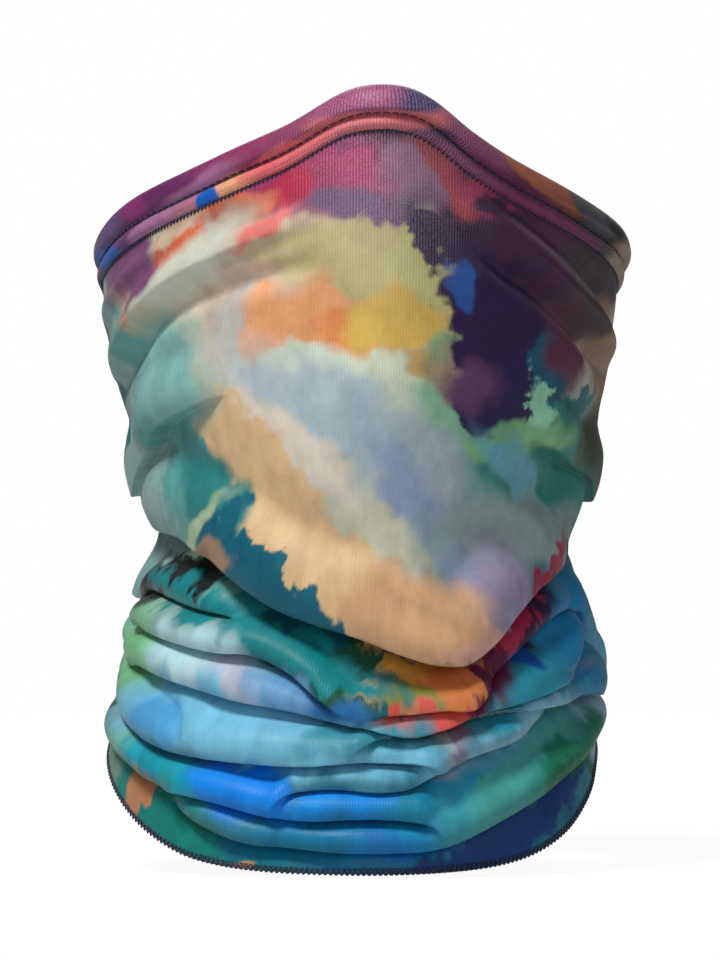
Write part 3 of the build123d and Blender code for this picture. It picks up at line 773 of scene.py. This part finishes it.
class Shader:
    """A node material, built in the order in which it is read."""

    def __init__(self, name):
        self.material = bpy.data.materials.new(name)
        self.material.use_nodes = True
        self.tree = self.material.node_tree
        self.tree.nodes.clear()
        output = self.tree.nodes.new("ShaderNodeOutputMaterial")
        self.surface = self.tree.nodes.new("ShaderNodeBsdfPrincipled")
        self.tree.links.new(self.surface.outputs[0], output.inputs["Surface"])

    def put(self, socket, value):
        if isinstance(value, bpy.types.NodeSocket):
            self.tree.links.new(value, socket)
        else:
            socket.default_value = value

    def attribute(self, name):
        node = self.tree.nodes.new("ShaderNodeAttribute")
        node.attribute_name = name
        return node.outputs["Vector"]

    def math(self, operation, a, b=0.0, clamp=False):
        node = self.tree.nodes.new("ShaderNodeMath")
        node.operation, node.use_clamp = operation, clamp
        self.put(node.inputs[0], a)
        self.put(node.inputs[1], b)
        return node.outputs[0]

    def vector(self, operation, a, b=(0, 0, 0), scale=None):
        node = self.tree.nodes.new("ShaderNodeVectorMath")
        node.operation = operation
        self.put(node.inputs[0], a)
        if scale is not None:
            self.put(node.inputs["Scale"], scale)
        elif operation != "LENGTH":
            self.put(node.inputs[1], b)
        return node.outputs["Value" if operation == "LENGTH" else "Vector"]

    def split(self, vector):
        node = self.tree.nodes.new("ShaderNodeSeparateXYZ")
        self.put(node.inputs[0], vector)
        return node.outputs

    def noise(self, vector, size, detail=2.0, roughness=0.5):
        node = self.tree.nodes.new("ShaderNodeTexNoise")
        self.put(node.inputs["Vector"], vector)
        node.inputs["Scale"].default_value = 1.0 / size
        node.inputs["Detail"].default_value = detail
        node.inputs["Roughness"].default_value = roughness
        return node.outputs

    def place(self, vector, location, tilt, size):
        node = self.tree.nodes.new("ShaderNodeMapping")
        node.vector_type = "TEXTURE"
        self.put(node.inputs["Vector"], vector)
        node.inputs["Location"].default_value = (*location, 0)
        node.inputs["Rotation"].default_value = (0, 0, math.radians(tilt))
        node.inputs["Scale"].default_value = (*size, 1)
        return node.outputs[0]

    def between(self, value, low, high, to_low=0.0, to_high=1.0):
        node = self.tree.nodes.new("ShaderNodeMapRange")
        node.interpolation_type = "SMOOTHSTEP"
        for socket, number in zip(node.inputs, (value, low, high, to_low, to_high)):
            self.put(socket, number)
        return node.outputs[0]

    def mix(self, share, a, b, blend="MIX"):
        node = self.tree.nodes.new("ShaderNodeMix")
        node.data_type, node.blend_type = "RGBA", blend
        self.put(node.inputs[0], share)
        self.put(node.inputs[6], a)
        self.put(node.inputs[7], b)
        return node.outputs[2]

    def ramp(self, value, stops):
        node = self.tree.nodes.new("ShaderNodeValToRGB")
        self.put(node.inputs[0], value)
        elements = node.color_ramp.elements
        while len(elements) < len(stops):
            elements.new(0.5)
        for element, (place, colour) in zip(elements, stops):
            element.position, element.color = place, dye(colour)
        return node.outputs[0]

    def bump(self, height, strength, distance, normal=None):
        node = self.tree.nodes.new("ShaderNodeBump")
        node.inputs["Strength"].default_value = strength
        node.inputs["Distance"].default_value = distance
        self.put(node.inputs["Height"], height)
        if normal is not None:
            self.put(node.inputs["Normal"], normal)
        return node.outputs[0]


WALE, COURSE = 0.85, 0.62      # millimetres from one column and one row of knit stitches to the next


def knit(shader, coords):
    """The columns and rows of the knit, each from 0 to 1."""
    u, v, _ = shader.split(coords)
    column = shader.math("SINE", shader.math("MULTIPLY", u, 2 * math.pi / WALE))
    row = shader.math("SINE", shader.math("MULTIPLY", v, 2 * math.pi / COURSE))
    return tuple(shader.math("MULTIPLY_ADD", wave, 0.5) for wave in (column, row))


def knitted(name):
    """Printed polyester knit: fine columns of stitches with painted shade between them, satin sheen, lighter
    where it stretches.
    """
    shader = Shader(name)
    coords = shader.attribute("cloth")
    colour = shader.attribute("wash")
    mottle = shader.between(shader.noise(coords, 7.0, 6.0, 0.6)[0], 0.35, 0.7, 0.0, 0.2)
    colour = shader.mix(mottle, colour, dye((0.93, 0.93, 0.93)), "SOFT_LIGHT")
    pool = shader.between(shader.noise(coords, 3.0, 4.0, 0.6)[0], 0.45, 0.75, 0.0, 0.2)
    colour = shader.mix(pool, colour, dye((0.25, 0.25, 0.3)), "SOFT_LIGHT")
    column, row = knit(shader, coords)
    fine = shader.noise(coords, 0.5, 2.0)[0]
    # painted shade: darkens the colour in the grooves between the knit columns
    shade_between_columns = shader.math("MULTIPLY", shader.math("SUBTRACT", 0.5, column), 0.24)
    colour = shader.mix(shade_between_columns, colour, dye((0.03, 0.03, 0.05)), "MULTIPLY")
    reach = shader.vector("LENGTH", shader.place(coords, (NOSE_PLACE, 208), 0, (34, 48)))
    stretch = shader.between(reach, 1.2, 0.3, 0.0, 0.20)
    light = shader.math("MULTIPLY", stretch, shader.between(column, 0.1, 0.5))
    light = shader.math("MULTIPLY", light, shader.between(fine, 0.3, 0.6))
    colour = shader.mix(light, colour, dye((0.90, 0.88, 0.90)))
    shader.put(shader.surface.inputs["Base Color"], colour)
    rough = shader.between(shader.noise(coords, 9.0, 3.0)[0], 0.3, 0.7, 0.44, 0.56)
    shader.put(shader.surface.inputs["Roughness"], rough)
    shader.surface.inputs["Specular IOR Level"].default_value = 0.35
    shader.surface.inputs["Sheen Weight"].default_value = 0.12
    shader.surface.inputs["Sheen Roughness"].default_value = 0.4
    creep = shader.bump(shader.noise(coords, 11.0, 3.0)[0], 0.5, 0.0008)
    stitch = shader.math("ADD", column, shader.math("MULTIPLY", row, 0.5))
    shader.put(shader.surface.inputs["Normal"], shader.bump(stitch, 0.35, 0.00012, creep))
    return shader.material


def reverse():
    """The unprinted back of the knit, off-white with the dye showing faintly through."""
    shader = Shader("knit_reverse")
    coords = shader.attribute("cloth")
    bleed = shader.noise(coords, 22.0, 4.0)[0]
    colour = shader.ramp(bleed, [(0.3, (0.62, 0.72, 0.76)), (0.5, (0.80, 0.80, 0.80)),
                                 (0.7, (0.76, 0.68, 0.72))])
    column, row = knit(shader, coords)
    colour = shader.mix(shader.math("MULTIPLY", column, 0.3), colour, dye((0.5, 0.5, 0.52)), "MULTIPLY")
    shader.put(shader.surface.inputs["Base Color"], colour)
    shader.surface.inputs["Roughness"].default_value = 0.75
    shader.surface.inputs["Sheen Weight"].default_value = 0.2
    weave = shader.math("ADD", shader.math("MULTIPLY", column, 0.5), row)
    shader.put(shader.surface.inputs["Normal"], shader.bump(weave, 0.4, 0.00015))
    return shader.material


def thread():
    """Navy polyester thread, with the twist of its plies."""
    shader = Shader("navy_thread")
    where = shader.tree.nodes.new("ShaderNodeTexCoord").outputs["Object"]
    wave = shader.tree.nodes.new("ShaderNodeTexWave")
    wave.bands_direction = "DIAGONAL"
    shader.put(wave.inputs["Vector"], where)
    wave.inputs["Scale"].default_value = 700.0
    wave.inputs["Distortion"].default_value = 1.5
    plies = wave.outputs["Fac"]
    tone = shader.noise(where, 0.004, 3.0)[0]
    navy = shader.mix(tone, dye((0.05, 0.05, 0.20)), dye((0.11, 0.12, 0.34)))
    shader.put(shader.surface.inputs["Base Color"], shader.mix(
        shader.math("MULTIPLY", plies, 0.35), navy, dye((0.02, 0.02, 0.08))))
    shader.surface.inputs["Roughness"].default_value = 0.5
    shader.surface.inputs["Sheen Weight"].default_value = 0.3
    shader.put(shader.surface.inputs["Normal"], shader.bump(plies, 0.5, 0.0001))
    return shader.material


body_knit, band_knit = knitted("printed_knit"), knitted("printed_band")
knit_back, navy = reverse(), thread()

FABRIC = 0.0006
for piece, node, slot, face in ((tube, "main_tube", "printed_knit", body_knit),
                                (band, "top_band", "printed_band", band_knit)):
    piece.data.materials.append(face)
    piece.data.materials.append(knit_back)
    shell = piece.modifiers.new("fabric", "SOLIDIFY")
    shell.thickness, shell.offset = FABRIC, -1
    shell.material_offset = 1
    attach(piece, "root")
    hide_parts(node)
allowance.data.materials.append(knit_back)
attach(allowance, "root")

THREADS = {
    "topstitch_needle_thread": topstitch, "topstitch_bobbin_thread": topstitch_in,
    "join_needle_thread": join_needle, "join_upper_looper_thread": join_upper,
    "join_lower_looper_thread": join_lower, "hem_needle_thread": hem_needle,
    "hem_upper_looper_thread": hem_upper_thread, "hem_lower_looper_thread": hem_lower_thread,
    "body_seam_needle_thread": seam_needle, "body_seam_upper_looper_thread": seam_upper,
    "body_seam_lower_looper_thread": seam_lower, "band_seam_needle_thread": band_seam_needle,
    "band_seam_bobbin_thread": band_seam_bobbin,
}
for node, piece in THREADS.items():
    piece.data.materials.append(navy)
    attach(piece, "root")
    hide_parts(node)

# Floor --------------------------------------------------------------------------------------------
LOWEST, FLOOR_HALF = -1.0, 1.6     # millimetres under the origin, and metres


def make_floor():
    """A plain pale floor, mostly plain white to the camera."""
    mesh = bpy.data.meshes.new("floor")
    corners = [(x * FLOOR_HALF, y * FLOOR_HALF, 0) for x, y in ((-1, -1), (1, -1), (1, 1), (-1, 1))]
    mesh.from_pydata(corners, [], [(0, 1, 2, 3)])
    obj = bpy.data.objects.new("floor", mesh)
    obj.location.z = LOWEST * MM
    bpy.context.scene.collection.objects.link(obj)
    shader = Shader("floor")
    nodes, links = shader.tree.nodes, shader.tree.links
    where = nodes.new("ShaderNodeTexCoord").outputs["Object"]
    grain = shader.noise(where, 0.05, 3.0)[0]
    pale = shader.mix(grain, (0.55, 0.55, 0.55, 1), (0.58, 0.58, 0.58, 1))
    shader.put(shader.surface.inputs["Base Color"], pale)
    shader.surface.inputs["Roughness"].default_value = 0.9
    glow, mix = nodes.new("ShaderNodeEmission"), nodes.new("ShaderNodeMixShader")
    glow.inputs["Strength"].default_value = 1.15
    seen_share = shader.math("MULTIPLY", nodes.new("ShaderNodeLightPath").outputs["Is Camera Ray"], 0.82)
    links.new(seen_share, mix.inputs[0])
    links.new(shader.surface.outputs[0], mix.inputs[1])
    links.new(glow.outputs[0], mix.inputs[2])
    links.new(mix.outputs[0], nodes["Material Output"].inputs["Surface"])
    mesh.materials.append(shader.material)
    return obj


make_floor()

# Camera -------------------------------------------------------------------------------------------
camera = bpy.data.objects.new("camera", bpy.data.cameras.new("camera"))
camera.data.sensor_fit = "VERTICAL"
camera.data.sensor_height = 36
camera.data.lens = 36 * CAMERA_DISTANCE / VIEW_HEIGHT
camera.location = (0, -CAMERA_DISTANCE * MM, CAMERA_HEIGHT * MM)
camera.rotation_euler = (math.radians(90), 0, 0)
bpy.context.scene.collection.objects.link(camera)
bpy.context.scene.camera = camera

# Light --------------------------------------------------------------------------------------------
world = bpy.data.worlds.new("studio")
bpy.context.scene.world = world
world.use_nodes = True
nodes, links = world.node_tree.nodes, world.node_tree.links
nodes.clear()
out = nodes.new("ShaderNodeOutputWorld")
mix = nodes.new("ShaderNodeMixShader")
path = nodes.new("ShaderNodeLightPath")
ambient, backdrop = nodes.new("ShaderNodeBackground"), nodes.new("ShaderNodeBackground")
ambient.inputs["Strength"].default_value = 0.07
backdrop.inputs["Color"].default_value = (1, 1, 1, 1)
backdrop.inputs["Strength"].default_value = 1.0
links.new(path.outputs["Is Camera Ray"], mix.inputs[0])
links.new(ambient.outputs[0], mix.inputs[1])
links.new(backdrop.outputs[0], mix.inputs[2])
links.new(mix.outputs[0], out.inputs["Surface"])


def area(name, place, target, size, power):
    """A soft box of light, aimed at a target."""
    lamp = bpy.data.objects.new(name, bpy.data.lights.new(name, "AREA"))
    lamp.data.shape = "RECTANGLE"
    lamp.data.size, lamp.data.size_y = size
    lamp.data.energy = power
    lamp.location = place
    aim = np.array(target) - np.array(place)
    lamp.rotation_euler = Vector(aim).to_track_quat("-Z", "Y").to_euler()
    bpy.context.scene.collection.objects.link(lamp)
    return lamp


area("key", (-0.55, -0.9, 1.45), (0, -0.03, 0.12), (0.45, 0.45), 24)
area("front", (0.15, -2.2, 0.55), (0, 0, 0.11), (0.9, 0.7), 6.5)
area("side", (1.3, -0.7, 0.8), (0, 0, 0.12), (0.4, 0.9), 2)
area("back", (0.0, 1.7, 1.0), (0, 0, 0.12), (0.9, 0.9), 7)

bpy.context.scene.view_settings.view_transform = "Standard"
